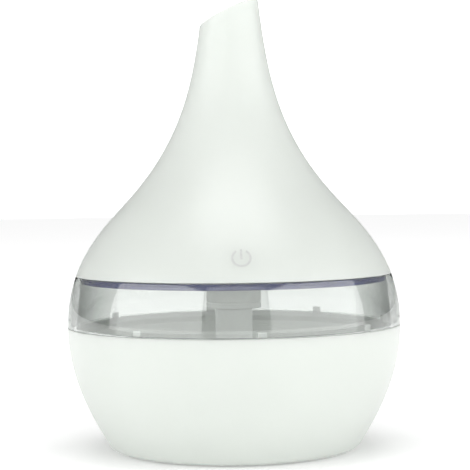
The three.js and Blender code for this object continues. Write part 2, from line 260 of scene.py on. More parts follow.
def brightSteel():
    finish, spot = newFinish("brightSteel")
    lines = spot.grain(1800.0, 3.0, (1.0, 1.0, 0.05))
    stain = spot.grain(240.0, 3.0)
    return closeFinish(finish, spot, {
        "Base Color": stain.tint(steelLook["dark"], steelLook["light"]),
        "Metallic": 1.0,
        "Roughness": 0.22 + lines * 0.18,
        "Normal": lines.relief(0.000008),
    })


# the gap colour is the painted shade seen in the holes
meshLook = {
    "pitch": 0.00042, "hole": 0.00012, "open": 0.0021,
    "sheet": (0.66, 0.66, 0.67), "gap": (0.03, 0.03, 0.035),
}


def sprayMesh():
    # steel sheet with a round field of fine holes in its middle, painted as near-black dots of painted shade,
    # not cut
    finish, spot = newFinish("sprayMesh")
    holes = spot.node("ShaderNodeTexVoronoi", {"distance": "EUCLIDEAN"}, {
        "Vector": spot, "Scale": 1 / meshLook["pitch"], "Randomness": 0.0,
    }, "Distance")
    reach = spot.flatReach()
    pierced = (reach < meshLook["open"]) * (holes < meshLook["hole"] / meshLook["pitch"])
    return closeFinish(finish, spot, {
        "Base Color": pierced.tint(meshLook["sheet"], meshLook["gap"]),
        "Metallic": 1.0 - pierced,
        "Roughness": 0.25 + spot.grain(700.0) * 0.15,
        "Normal": (1.0 - pierced).relief(0.00005),
    })


piezoLook = {
    "ceramic": (0.62, 0.58, 0.44), "silverDark": (0.58, 0.58, 0.57), "silverLight": (0.72, 0.72, 0.71),
    "silverFrom": 0.0039, "silverTo": 0.0076,
}


def piezoCeramic():
    # silver electrode printed over the ceramic, short of its edges
    finish, spot = newFinish("piezoCeramic")
    reach = spot.flatReach()
    silver = (reach > piezoLook["silverFrom"]) * (reach < piezoLook["silverTo"])
    powder = spot.grain(1600.0, 4.0)
    silverTint = powder.tint(piezoLook["silverDark"], piezoLook["silverLight"])
    return closeFinish(finish, spot, {
        "Base Color": silver.tint(piezoLook["ceramic"], silverTint),
        "Metallic": silver * 0.8,
        "Roughness": 0.6 - silver * 0.2 + powder * 0.1,
        "Normal": powder.relief(0.00002),
    })


boardLook = {"mask": (0.010, 0.085, 0.035), "track": (0.05, 0.22, 0.09)}


def solderMask():
    finish, spot = newFinish("solderMask")
    tracks = spot.node("ShaderNodeTexBrick", None, {
        "Vector": spot, "Scale": 260.0, "Mortar Size": 0.03, "Color1": (0, 0, 0, 1), "Color2": (0, 0, 0, 1),
        "Mortar": (1, 1, 1, 1),
    })
    weave = spot.grain(2000.0)
    return closeFinish(finish, spot, {
        "Base Color": (tracks * 0.6).tint(boardLook["mask"], boardLook["track"]),
        "Roughness": 0.3 + weave * 0.15,
        "Normal": (tracks + weave * 0.3).relief(0.00003),
        "Coat Weight": 0.4,
    })


epoxyLook = {"dark": (0.012, 0.012, 0.014), "light": (0.035, 0.035, 0.038)}


def blackEpoxy():
    finish, spot = newFinish("blackEpoxy")
    pores = spot.grain(2400.0, 3.0)
    return closeFinish(finish, spot, {
        "Base Color": pores.tint(epoxyLook["dark"], epoxyLook["light"]),
        "Roughness": 0.45 + pores * 0.25,
        "Normal": pores.relief(0.00003),
    })


lensLook = {"dark": (0.80, 0.70, 0.34), "light": (0.92, 0.86, 0.60)}


def ledLens():
    finish, spot = newFinish("ledLens")
    body = spot.grain(900.0)
    return closeFinish(finish, spot, {
        "Base Color": body.tint(lensLook["dark"], lensLook["light"]),
        "Roughness": 0.15 + body * 0.1,
        "Normal": body.relief(0.00001),
    })


sleeveLook = {"dark": (0.66, 0.66, 0.66), "light": (0.82, 0.82, 0.82)}


def leadSleeve():
    finish, spot = newFinish("leadSleeve")
    rub = spot.grain(700.0, 3.0)
    return closeFinish(finish, spot, {
        "Base Color": rub.tint(sleeveLook["dark"], sleeveLook["light"]),
        "Roughness": 0.45 + rub * 0.2,
        "Normal": rub.relief(0.00003),
    })


printLook = {"ink": (0.50, 0.515, 0.50), "edge": (0.56, 0.575, 0.56)}


def symbolInk():
    finish, spot = newFinish("symbolInk")
    wear = spot.grain(1500.0, 4.0)
    return closeFinish(finish, spot, {
        "Base Color": wear.ramp(0.35, 0.7).tint(printLook["ink"], printLook["edge"]),
        "Roughness": 0.4 + wear * 0.15,
        "Normal": wear.relief(0.000008),
    })


finishes = {
    "white_shell": shellPlastic(),
    "white_inner": innerPlastic(),
    "clear_window": windowPlastic(),
    "navy_silicone": navySilicone(),
    "pale_silicone": paleSilicone(),
    "foot_rubber": footRubber(),
    "cotton": cottonFibre(),
    "steel": brightSteel(),
    "piezo_ceramic": piezoCeramic(),
    "circuit_board": solderMask(),
    "black_component": blackEpoxy(),
    "led_lens": ledLens(),
    "lead_sleeve": leadSleeve(),
}
slotOf = {row["node"]: row["material_slot"] for row in frame["record"]["subparts"]}
for nodeName, node in frame["nodes"].items():
    node.data.materials.clear()
    node.data.materials.append(finishes[slotOf[nodeName]])
print("finishes made:", len(finishes))


# mesh building, outlines in millimetres as (radius, height, corner radius)


def softened(outline, steps=4):
    # closed outline with its corners rounded
    points = []
    for i, (x, z, radius) in enumerate(outline):
        corner = Vector((x, z))
        if radius == 0:
            points.append(corner)
            continue
        before = Vector(outline[i - 1][:2]) - corner
        after = Vector(outline[(i + 1) % len(outline)][:2]) - corner
        opening = before.angle(after)
        reach = min(radius / math.tan(opening / 2), before.length * 0.49, after.length * 0.49)
        start = corner + before.normalized() * reach
        end = corner + after.normalized() * reach
        for k in range(steps + 1):
            t = k / steps
            points.append(start * (1 - t) ** 2 + corner * 2 * t * (1 - t) + end * t * t)
    return points


def loft(name, outlines):
    # closed skin through one closed outline for each step round the axis; a point on the axis is shared
    mesh = bpy.data.meshes.new(name)
    rows = []
    corners = []
    axisPoint = {}
    for i, outline in enumerate(outlines):
        angle = 2 * math.pi * i / len(outlines) - math.pi / 2
        row = []
        for k, point in enumerate(outline):
            if point.x < 1e-6 and k in axisPoint:
                row.append(axisPoint[k])
                continue
            if point.x < 1e-6:
                axisPoint[k] = len(corners)
            row.append(len(corners))
            corners.append((point.x * mm * math.cos(angle), point.x * mm * math.sin(angle), point.y * mm))
        rows.append(row)
    faces = []
    for i, row in enumerate(rows):
        nextRow = rows[(i + 1) % len(rows)]
        for k in range(len(row)):
            after = (k + 1) % len(row)
            quad = [row[k], nextRow[k], nextRow[after], row[after]]
            face = list(dict.fromkeys(quad))
            if len(face) > 2:
                faces.append(face)
    mesh.from_pydata(corners, [], faces)
    return made(name, mesh)


def made(name, mesh):
    item = bpy.data.objects.new(name, mesh)
    bpy.context.scene.collection.objects.link(item)
    return item


def lathe(name, outline, steps=128):
    return loft(name, [softened(outline)] * steps)


def smooth(item, degrees=35):
    mesh = item.data
    mesh.shade_smooth()
    mesh.set_sharp_from_angle(angle=math.radians(degrees))
    return item


def roundBox(name, low, high, radius, steps=3):
    # block from its lowest to its highest corner with rounded edges, in millimetres
    shape = bmesh.new()
    bmesh.ops.create_cube(shape, size=1.0)
    for corner in shape.verts:
        for axis in range(3):
            corner.co[axis] = (high[axis] if corner.co[axis] > 0 else low[axis]) * mm
    if radius:
        bmesh.ops.bevel(
            shape, geom=shape.edges[:], offset=radius * mm, segments=steps, profile=0.5, affect="EDGES"
        )
    mesh = bpy.data.meshes.new(name)
    shape.to_mesh(mesh)
    shape.free()
    return made(name, mesh)


def shift(item, x, y, z=0.0):
    for corner in item.data.vertices:
        corner.co += Vector((x, y, z)) * mm
    return item


def rod(name, r, low, high, x, y, steps=40):
    outline = [(0.0, low, 0.0), (r, low, 0.0), (r, high, 0.0), (0.0, high, 0.0)]
    return shift(lathe(name, outline, steps), x, y)


def turnBy(item, degrees, axis="Z"):
    angles = [math.radians(degrees) if name == axis else 0 for name in "XYZ"]
    item.data.transform(Euler(angles).to_matrix().to_4x4())
    return item


def combine(item, tools, operation):
    # boolean with each tool, kept as plain mesh
    for tool in tools:
        change = item.modifiers.new("change", "BOOLEAN")
        change.operation = operation
        change.solver = "EXACT"
        change.object = tool
        shape = bpy.data.meshes.new_from_object(item.evaluated_get(bpy.context.evaluated_depsgraph_get()))
        item.modifiers.clear()
        item.data = shape
        bpy.data.objects.remove(tool)
    tidy = bmesh.new()
    tidy.from_mesh(item.data)
    bmesh.ops.remove_doubles(tidy, verts=tidy.verts[:], dist=0.002 * mm)
    bmesh.ops.dissolve_degenerate(tidy, edges=tidy.edges[:], dist=0.001 * mm)
    tidy.to_mesh(item.data)
    tidy.free()
    return item


def gather(item, others):
    # several closed shapes as one piece
    shape = bmesh.new()
    for each in [item, *others]:
        shape.from_mesh(each.data)
    shape.to_mesh(item.data)
    shape.free()
    for each in others:
        bpy.data.objects.remove(each)
    return item


def place(item, body, slotName, *nodes):
    item.data.materials.clear()
    item.data.materials.append(finishes[slotName])
    smooth(item)
    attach(item, body)
    if nodes:
        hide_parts(*nodes)
    print("piece:", item.name)
    return item


def heights(node):
    low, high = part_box(node)
    return low.z / mm, high.z / mm


# outer line of the body: radius, height, lean from the outward horizontal, and handle reach

outlineKnots = [
    {"r": 42.59, "z": 2.76, "lean": 60.1, "below": 0.0, "above": 10.85},
    {"r": 55.64, "z": 42.2, "lean": 90.0, "below": 18.31, "above": 18.44},
    {"r": 36.25, "z": 82.3, "lean": 133.4, "below": 14.0, "above": 31.5},
    {"r": 9.02, "z": 152.0, "lean": 96.7, "below": 25.83, "above": 0.0},
]


def knotPoint(knot, reach):
    lean = math.radians(knot["lean"])
    return Vector((knot["r"] + reach * math.cos(lean), knot["z"] + reach * math.sin(lean)))


def onOutline(z, inset=0.0):
    # point of the outer line at a height, moved inward along its normal
    for below, above in zip(outlineKnots, outlineKnots[1:]):
        if z <= above["z"]:
            break
    p = [
        knotPoint(below, 0), knotPoint(below, below["above"]),
        knotPoint(above, -above["below"]), knotPoint(above, 0),
    ]
    low, high = 0.0, 1.0
    for _ in range(30):
        t = (low + high) / 2
        point = p[0] * (1 - t) ** 3 + p[1] * 3 * t * (1 - t) ** 2 + p[2] * 3 * t * t * (1 - t) + p[3] * t ** 3
        if point.y < z:
            low = t
        else:
            high = t
    along = (p[1] - p[0]) * (1 - t) ** 2 + (p[2] - p[1]) * 2 * t * (1 - t) + (p[3] - p[2]) * t * t
    along.normalize()
    return point + Vector((-along.y, along.x)) * inset


def outlineRun(low, high, count, inset=0.0):
    points = [onOutline(low + (high - low) * i / count, inset) for i in range(count + 1)]
    return [(point.x, point.y, 0.0) for point in points]


# lower bowl

bowl = {
    "wall": 2.4, "edgeR": 38.4, "edgeZ": 0.5, "recessR": 33.5, "recessZ": 1.5,
    "rimInner": 51.2, "beadHigh": 1.6, "groove": (53.3, 54.9), "grooveDeep": 0.8,
    "tabs": 8, "tabAngle": 9.5, "tabWide": 3.0, "tabThick": 0.9, "tabHigh": 1.8, "tabRoot": 0.4,
}
rimZ = heights("lower_bowl")[1] - bowl["tabHigh"]


def lowerBowl():
    foot = outlineKnots[0]
    drop = (bowl["edgeZ"] - foot["z"]) / math.sin(math.radians(foot["lean"]))
    crease = knotPoint(foot, drop)
    corner = [Vector((bowl["edgeR"], bowl["edgeZ"])), crease, knotPoint(foot, 0)]
    bend = [
        corner[0] * (1 - t) ** 2 + corner[1] * 2 * t * (1 - t) + corner[2] * t * t
        for t in (0.0, 0.2, 0.4, 0.6, 0.8)
    ]
    grooveIn, grooveOut = bowl["groove"]
    grooveZ = rimZ - bowl["grooveDeep"]
    inner = outlineRun(foot["z"], rimZ - bowl["beadHigh"] - 1.8, 48, bowl["wall"])[::-1]
    floorZ = inner[-1][1]
    skin = lathe("lowerBowl", [
        (0.0, bowl["recessZ"], 0.0),
        (bowl["recessR"], bowl["recessZ"], 0.4),
        (bowl["recessR"] + 1.0, bowl["edgeZ"], 0.4),
        *[(point.x, point.y, 0.0) for point in bend],
        *outlineRun(foot["z"], rimZ - 0.5, 60),
        (*onOutline(rimZ), 0.3),
        (grooveOut, rimZ, 0.1),
        (grooveOut, grooveZ, 0.1),
        (grooveIn, grooveZ, 0.1),
        (grooveIn, rimZ, 0.1),
        (bowl["rimInner"], rimZ, 0.3),
        (bowl["rimInner"], rimZ - bowl["beadHigh"], 0.6),
        *inner[:-1],
        (inner[-1][0], floorZ, 1.5),
        (0.0, floorZ, 0.0),
    ], 192)
    tabs = []
    reach, half = bowl["rimInner"], bowl["tabWide"] / 2
    tabLow = (reach, -half, rimZ - bowl["tabRoot"])
    tabTop = (reach + bowl["tabThick"], half, rimZ + bowl["tabHigh"])
    for i in range(bowl["tabs"]):
        tab = roundBox("tab", tabLow, tabTop, 0.25)
        tabs.append(turnBy(tab, bowl["tabAngle"] - 90 + 360 * i / bowl["tabs"]))
    place(gather(skin, tabs), "base", "white_shell", "lower_bowl")


# clear ring, its gasket and the navy seal

window = {"innerLow": 52.6, "innerHigh": 51.3, "edge": 0.25, "joint": 0.1}
gasketLook = {"rib": 0.15}
sealLook = {"outer": 51.0, "wall": 1.0, "lipR": 48.2, "lip": 0.8, "rib": 0.12}


def windowRing():
    low, high = rimZ + window["joint"], heights("window_ring")[1] + window["joint"]
    edge = window["edge"]
    side = outlineRun(low, high, 40)
    place(lathe("windowRing", [
        (window["innerLow"], low, edge),
        (side[0][0], low, edge),
        *side[1:-1],
        (side[-1][0], high, edge),
        (window["innerHigh"], high, edge),
    ], 192), "base", "clear_window", "window_ring")


def windowGasket():
    low, high = heights("window_gasket")
    inner, outer = bowl["groove"][0] + 0.3, bowl["groove"][1] - 0.3
    place(lathe("windowGasket", [
        (inner, low, gasketLook["rib"]), (outer, low, gasketLook["rib"]),
        (outer, high, gasketLook["rib"]), (inner, high, gasketLook["rib"]),
    ]), "base", "pale_silicone", "window_gasket")


def sealRing():
    low, high = heights("seal_ring")
    outer, wall, rib = sealLook["outer"], sealLook["wall"], sealLook["rib"]
    lipTop = low + sealLook["lip"]
    place(lathe("sealRing", [
        (sealLook["lipR"], low, 0.2),
        (outer, low, 0.35),
        (outer, low + 0.7, 0.1),
        (outer - rib, low + 0.85, 0.1),
        (outer - rib, high - 0.85, 0.1),
        (outer, high - 0.7, 0.1),
        (outer, high, 0.25),
        (outer - wall, high, 0.2),
        (outer - wall, lipTop, 0.1),
        (sealLook["lipR"], lipTop, 0.2),
    ], 192), "seal", "navy_silicone", "seal_ring")


# feet

footLook = {"count": 4, "r": 4.5, "grooves": 3, "deep": 0.2, "edge": 0.3}


def footPads():
    for i in range(footLook["count"]):
        node = f"foot_pad_{i + 1}"
        low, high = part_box(node)
        middle = (low + high) / 2
        top = high.z / mm
        r = footLook["r"]
        outline = [(0.0, 0.0, 0.0)]
        for k in range(footLook["grooves"]):
            at = r * (k + 1) / (footLook["grooves"] + 1)
            outline += [(at - 0.2, 0.0, 0.0), (at, footLook["deep"], 0.0), (at + 0.2, 0.0, 0.0)]
        outline += [(r, 0.0, footLook["edge"]), (r, top, 0.1), (0.0, top, 0.0)]
        pad = lathe(f"footPad{i + 1}", outline, 48)
        for corner in pad.data.vertices:
            corner.co += Vector((middle.x, middle.y, 0.0))
        place(pad, "base", "foot_rubber", node)


# upper shell with the slanted mouth and the power inlet hole

shellForm = {"wall": 1.8, "edge": 0.35, "mouthZ": 146.1, "riseX": 0.464, "riseY": -0.1}
portForm = {"width": 10.6, "height": 6.4, "z": 65.35, "corner": 1.2, "inner": 44.6, "outer": 60.0}
postForm = {"r": 3.2, "ringR": 40.0, "low": 61.3, "pilot": 1.45, "pilotTop": 68.0}
screwSpots = [
    (sideX * postForm["ringR"] * math.sqrt(0.5), sideY * postForm["ringR"] * math.sqrt(0.5))
    for sideX in (-1, 1) for sideY in (-1, 1)
]


def mouthPoint(angle, inset):
    # where the slanted cut meets the outer or the inner line at an angle round the axis
    z = shellForm["mouthZ"]
    for _ in range(12):
        point = onOutline(z, inset)
        cutZ = shellForm["mouthZ"] + point.x * (
            shellForm["riseX"] * math.cos(angle) + shellForm["riseY"] * math.sin(angle)
        )
        z += cutZ - point.y
    return z


def upperShell():
    low = heights("upper_shell")[0]
    steps = 192
    outlines = []
    for i in range(steps):
        angle = 2 * math.pi * i / steps - math.pi / 2
        outerTop = mouthPoint(angle, 0.0)
        innerTop = mouthPoint(angle, shellForm["wall"])
        outer = outlineRun(low, outerTop, 110)
        inner = outlineRun(low - 1.2, innerTop, 80, shellForm["wall"])[::-1]
        rimOut = (*outer[-1][:2], shellForm["edge"])
        rimIn = (*inner[0][:2], shellForm["edge"])
        foot = (inner[-1][0], low, 0.2)
        outlines.append(softened([
            foot, (*outer[0][:2], 0.25), *outer[1:-1], rimOut, rimIn, *inner[1:-2],
        ]))
    skin = loft("upperShell", outlines)
    posts = [rod("post", postForm["r"], postForm["low"], 95.0, x, y) for x, y in screwSpots]
    posts = gather(posts[0], posts[1:])
    middle = outlineRun(postForm["low"] - 1, 100.0, 60, shellForm["wall"] / 2)
    inside = lathe("inside", [(0.0, postForm["low"] - 1, 0.0), *middle, (0.0, 100.0, 0.0)])
    combine(posts, [inside], "INTERSECT")
    combine(skin, [posts], "UNION")
    pilots = [rod("pilot", postForm["pilot"], 58.0, postForm["pilotTop"], x, y, 24) for x, y in screwSpots]
    combine(skin, pilots, "DIFFERENCE")
    half, high = portForm["width"] / 2, portForm["height"] / 2
    holeLow = (-half, portForm["inner"], portForm["z"] - high)
    holeTop = (half, portForm["outer"], portForm["z"] + high)
    hole = roundBox("hole", holeLow, holeTop, portForm["corner"])
    place(combine(skin, [hole], "DIFFERENCE"), "head", "white_shell", "upper_shell")


# power symbol printed over the touch key

symbol = {
    "boardAngle": 3.0, "angle": 2.9, "z": 66.2, "r": 2.8, "line": 0.7, "gap": 34.0,
    "barHigh": 3.0, "barLow": -0.5, "proud": 0.03,
}


def symbolPoint(across, up):
    # a point of the flat symbol laid on the shell, in millimetres
    z = symbol["z"]
    for _ in range(10):
        z += up / 10 * 0.1 / (onOutline(z + 0.1) - onOutline(z)).length
    spot = onOutline(z, -symbol["proud"])
    angle = math.radians(symbol["angle"] - 90) + across / onOutline(symbol["z"]).x
    return (spot.x * mm * math.cos(angle), spot.x * mm * math.sin(angle), spot.y * mm)


def strip(sides, corners, faces):
    # quads between pairs of points, appended to a mesh in the making
    first = len(corners)
    for pair in sides:
        corners.extend(symbolPoint(*point) for point in pair)
    for k in range(len(sides) - 1):
        a = first + 2 * k
        faces.append((a, a + 2, a + 3, a + 1))


def powerSymbol():
    corners, faces = [], []
    r, half = symbol["r"], symbol["line"] / 2
    arc = []
    steps = 72
    for k in range(steps + 1):
        angle = math.radians(90 + symbol["gap"] + (360 - 2 * symbol["gap"]) * k / steps)
        arc.append([
            ((r - half) * math.cos(angle), (r - half) * math.sin(angle)),
            ((r + half) * math.cos(angle), (r + half) * math.sin(angle)),
        ])
    strip(arc, corners, faces)
    bar = []
    for k in range(9):
        up = symbol["barLow"] + (symbol["barHigh"] - symbol["barLow"]) * k / 8
        bar.append([(-half, up), (half, up)])
    strip(bar, corners, faces)
    mesh = bpy.data.meshes.new("powerSymbol")
    mesh.from_pydata(corners, [], faces)
    mark = made("powerSymbol", mesh)
    thick = mark.modifiers.new("thick", "SOLIDIFY")
    thick.thickness = symbol["proud"] * mm * 1.5
    thick.offset = 0
    mark.data = bpy.data.meshes.new_from_object(mark.evaluated_get(bpy.context.evaluated_depsgraph_get()))
    mark.modifiers.clear()
    mark.data.materials.clear()
    mark.data.materials.append(symbolInk())
    smooth(mark)
    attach(mark, "head")
    print("piece:", mark.name)


# head plate with its collar, wick column and posts

plateForm = {
    "r": 49.7, "skirt": 48.0, "under": 59.0, "top": 61.0, "ribs": 12, "ribWide": 1.0, "ribZ": 57.6,
    "collarR": 9.2, "bore": 7.6, "lugBore": 8.6, "columnR": 7.2, "wickBore": 5.0, "flangeR": 14.5,
    "seatR": 10.4, "seatZ": 98.0, "boardX": 14.2, "boardY": (20.0, 40.0), "boardLow": 62.2,
    "lugLow": 56.2, "lugTurn": 60, "entryHalf": 1.7, "entryTop": 57.2,
    "screwSeatR": 2.9, "screwHoleR": 1.6, "boardPostR": 2.4, "boardHoleR": 1.2,
}


def headPlate():
    low, high = heights("head_plate")
    skirtZ = heights("seal_ring")[0] + sealLook["lip"] + 0.3
    p = plateForm
    skin = lathe("headPlate", [
        (p["bore"], low, 0.3),
        (p["collarR"], low, 0.4),
        (p["collarR"], low + 1.7, 0.15),
        (p["collarR"] - 0.25, low + 1.8, 0.1),
        (p["collarR"] - 0.25, low + 2.2, 0.1),
        (p["collarR"], low + 2.3, 0.15),
        (p["collarR"], p["under"], 0.8),
        (p["skirt"], p["under"], 0.6),
        (p["skirt"], skirtZ, 0.3),
        (p["r"], skirtZ, 0.3),
        (p["r"], p["under"] + 1.0, 0.2),
        (p["r"] - 1.0, p["top"], 0.2),
        (p["columnR"], p["top"], 1.2),
        (p["columnR"], high - 5.0, 1.0),
        (p["flangeR"], high - 2.0, 0.3),
        (p["flangeR"], high, 0.3),
        (p["seatR"], high, 0.2),
        (p["seatR"], p["seatZ"], 0.2),
        (p["wickBore"], p["seatZ"], 0.3),
        (p["wickBore"], p["under"] - 0.2, 0.3),
        (p["lugBore"], p["under"] - 0.2, 0.1),
        (p["lugBore"], p["lugLow"], 0.1),
        (p["bore"], p["lugLow"], 0.1),
    ], 160)
    ribs = []
    half = p["ribWide"] / 2
    ribLow = (p["collarR"] - 0.3, -half, p["ribZ"])
    ribTop = (p["skirt"] + 0.4, half, p["under"] + 0.3)
    for i in range(p["ribs"]):
        rib = roundBox("rib", ribLow, ribTop, 0.15, 2)
        ribs.append(turnBy(rib, 360 * (i + 0.5) / p["ribs"]))
    seats = [rod("seat", p["screwSeatR"], 55.0, p["under"] - 0.03, x, y) for x, y in screwSpots]
    bars = combine(gather(ribs[0], ribs[1:]), seats, "DIFFERENCE")
    boardSpots = [(x, y) for x in (-p["boardX"], p["boardX"]) for y in p["boardY"]]
    posts = [rod("post", p["boardPostR"], p["top"] - 0.5, p["boardLow"], x, y) for x, y in boardSpots]
    combine(skin, [gather(posts[0], posts[1:])], "UNION")
    combine(skin, [uprights()], "UNION")
    reach, half = p["lugBore"], p["entryHalf"]
    entry = roundBox("entry", (-reach, -half, low - 1), (reach, half, p["entryTop"]), 0.0)
    holes = [rod("hole", p["screwHoleR"], p["under"] - 1, p["top"] + 1, x, y, 32) for x, y in screwSpots]
    holes += [rod("hole", p["boardHoleR"], p["top"], p["boardLow"] + 1, x, y, 24) for x, y in boardSpots]
    cuts = [turnBy(entry, p["lugTurn"]), gather(holes[0], holes[1:]), *flangeCuts(flangeForm["plateNotch"])]
    combine(skin, cuts, "DIFFERENCE")
    place(gather(skin, [bars]), "head", "white_inner", "head_plate")


uprightForm = {"x": 7.6, "half": 1.8, "front": -41.0, "back": -37.0, "top": 69.0}
boardSlot = {"half": 7.3, "front": -39.8, "back": -38.2}


def uprights():
    # two slotted uprights that hold the touch board by its sides
    u = uprightForm
    sides = []
    for x in (-u["x"], u["x"]):
        low = (x - u["half"], u["front"], plateForm["top"] - 0.5)
        sides.append(roundBox("upright", low, (x + u["half"], u["back"], u["top"]), 0.25))
    both = gather(sides[0], sides[1:])
    half = boardSlot["half"]
    slotLow = (-half, boardSlot["front"], plateForm["top"] + 0.5)
    slot = roundBox("slot", slotLow, (half, boardSlot["back"], u["top"] + 1.0), 0.0)
    return turnBy(combine(both, [slot], "DIFFERENCE"), symbol["boardAngle"])


flangeForm = {
    "screwX": 12.5, "screwR": 1.2, "notchHalf": 4.2, "notchTop": 101.6,
    "plateNotch": 10.2, "funnelNotch": 8.0,
}


def flangeCuts(notchFrom):
    # screw holes beside the mist disc, and the notch that its leads pass through
    half, screwX = flangeForm["notchHalf"], flangeForm["screwX"]
    holes = [rod("hole", flangeForm["screwR"], 90.0, 106.0, x, 0.0, 24) for x in (-screwX, screwX)]
    notch = roundBox("notch", (-half, notchFrom, 92.0), (half, 20.0, flangeForm["notchTop"]), 0.0)
    return [gather(holes[0], holes[1:]), notch]


# screws

screwKinds = {
    "plate_screw": {"count": 4, "head": 2.2, "tall": 1.3, "shank": 1.1, "up": True},
    "funnel_screw": {"count": 2, "head": 1.9, "tall": 1.3, "shank": 0.9, "up": False},
    "board_screw": {"count": 4, "head": 1.9, "tall": 1.3, "shank": 0.9, "up": False},
}
threadPitch = 0.8


def screw(name, kind, length):
    # head below zero, threaded shank above, with a crossed recess
    head, tall, shank = kind["head"], kind["tall"], kind["shank"]
    outline = [
        (0.0, -tall, 0.0), (head * 0.75, -tall, 0.3), (head, -tall * 0.55, 0.25),
        (head, 0.0, 0.15), (shank, 0.0, 0.1),
    ]
    turns = int((length - 1.2) / threadPitch)
    for k in range(turns):
        z = 0.5 + k * threadPitch
        outline += [
            (shank * 0.82, z, 0.0), (shank, z + threadPitch * 0.35, 0.0),
            (shank * 0.82, z + threadPitch * 0.7, 0.0),
        ]
    outline += [(shank * 0.8, length - shank, 0.0), (0.0, length, 0.0)]
    body = lathe(name, outline, 32)
    arm, deep = head * 0.55, tall * 0.6
    slots = [
        roundBox("slot", (-arm, -0.22, -tall - 1), (arm, 0.22, -tall + deep), 0.0),
        roundBox("slot", (-0.22, -arm, -tall - 1), (0.22, arm, -tall + deep), 0.0),
    ]
    return combine(body, slots, "DIFFERENCE")


def allScrews():
    for node, kind in screwKinds.items():
        for i in range(kind["count"]):
            low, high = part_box(f"{node}_{i + 1}")
            length = (high.z - low.z) / mm - kind["tall"]
            item = screw(node.replace("_s", "S") + str(i + 1), kind, length)
            if not kind["up"]:
                turnBy(item, 180, "X")
            turnBy(item, 25 + 50 * i)
            middle = (low + high) / 2
            seatZ = low.z + kind["tall"] * mm if kind["up"] else high.z - kind["tall"] * mm
            for corner in item.data.vertices:
                corner.co += Vector((middle.x, middle.y, seatZ))
            place(item, "head", "steel", f"{node}_{i + 1}")


# mist maker under the neck

gasketForm = {"r": 10.1, "boreLow": 5.2, "boreHigh": 5.6, "pocketR": 8.4, "lip": 1.0}


def discGasket():
    low, high = heights("disc_gasket")
    g = gasketForm
    place(lathe("discGasket", [
        (g["boreLow"], low, 0.2), (g["r"], low, 0.3), (g["r"], high, 0.3), (g["boreHigh"], high, 0.3),
        (g["boreHigh"], high - g["lip"], 0.1), (g["pocketR"], high - g["lip"], 0.1),
        (g["pocketR"], low + g["lip"], 0.1), (g["boreLow"], low + g["lip"], 0.1),
    ], 96), "head", "pale_silicone", "disc_gasket")


piezoForm = {"bore": 3.4, "r": 8.1, "edge": 0.05}


def piezoRing():
    low, high = heights("piezo_ring")
    bore, r, edge = piezoForm["bore"], piezoForm["r"], piezoForm["edge"]
    outline = [(bore, low, edge), (r, low, edge), (r, high, edge), (bore, high, edge)]
    place(lathe("piezoRing", outline, 96), "head", "piezo_ceramic", "piezo_ring")


plateSheet = {"r": 4.9, "thick": 0.2, "domeR": 1.9, "crownR": 1.2}


def meshPlate():
    low, high = heights("mesh_plate")
    r, top = plateSheet["r"], low + plateSheet["thick"]
    domeR, crownR = plateSheet["domeR"], plateSheet["crownR"]
    plate = lathe("meshPlate", [
        (0.0, low + 0.1, 0.0), (crownR, low + 0.08, 0.0), (domeR, low, 0.0), (r, low, 0.03),
        (r, top, 0.03), (domeR, top, 0.0), (crownR, low + 0.27, 0.0), (0.0, high, 0.0),
    ], 96)
    place(plate, "head", "steel", "mesh_plate")
    plate.data.materials[0] = sprayMesh()


funnelForm = {
    "seatR": 10.4, "footR": 14.5, "flange": 3.0, "waistR": 9.3, "bellR": 14.1, "lipR": 13.3,
    "lipBore": 12.2, "bore": 5.6,
}


def mistFunnel():
    low, high = heights("mist_funnel")
    f = funnelForm
    flange = low + f["flange"]
    body = lathe("mistFunnel", [
        (f["seatR"], low, 0.2), (f["footR"], low, 0.3),
        (f["footR"], flange + 1.5, 0.4), (f["waistR"], flange + 1.5, 0.3),
        (f["waistR"] + 0.6, flange + 3.4, 1.0), (f["bellR"], high - 3.8, 0.2),
        (f["bellR"], high - 2.6, 0.2), (f["lipR"], high - 2.6, 0.1),
        (f["lipR"], high, 0.25), (f["lipBore"], high, 0.25),
        (f["lipBore"] - 0.8, high - 1.4, 1.0), (f["bore"], flange + 2.2, 0.8),
        (f["bore"], flange, 0.3), (f["seatR"], flange, 0.2),
    ], 128)
    combine(body, flangeCuts(flangeForm["funnelNotch"]), "DIFFERENCE")
    place(body, "head", "white_inner", "mist_funnel")


neckForm = {"inner": 13.6, "ridge": 14.4, "groove": 14.25}


def neckSeal():
    low, high = heights("neck_seal")
    inner, ridge = neckForm["inner"], neckForm["ridge"]
    place(lathe("neckSeal", [
        (inner, low, 0.2), (ridge, low, 0.3), (neckForm["groove"], (low + high) / 2, 0.3),
        (ridge, high, 0.3), (inner, high, 0.2),
    ], 96), "head", "pale_silicone", "neck_seal")


# power socket seen through the hole at the back

socketForm = {"sheet": 0.4, "corner": 0.7, "contacts": 5, "pitch": 0.65, "contactHalf": 0.16}


def usbSocket():
    low, high = [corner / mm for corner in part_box("usb_socket")]
    wall = socketForm["sheet"]
    can = roundBox("usbSocket", low, high, socketForm["corner"], 4)
    hollow = roundBox(
        "hollow", (low.x + wall, low.y + 1.0, low.z + wall), (high.x - wall, high.y + 2, high.z - wall),
        socketForm["corner"] - wall * 0.5, 4,
    )
    combine(can, [hollow], "DIFFERENCE")
    tongue = roundBox(
        "tongue", (low.x + 1.2, low.y + 0.9, low.z + 1.3), (high.x - 1.2, high.y - 0.8, low.z + 1.8), 0.1
    )
    contacts = []
    half = socketForm["contactHalf"]
    for k in range(socketForm["contacts"]):
        x = (k - (socketForm["contacts"] - 1) / 2) * socketForm["pitch"]
        contactTop = (x + half, high.y - 1.0, low.z + 1.34)
        contacts.append(roundBox("contact", (x - half, low.y + 1.2, low.z + 1.24), contactTop, 0.03))
    place(gather(can, [tongue, *contacts]), "head", "steel", "usb_socket")


# filter tube, wick and spring

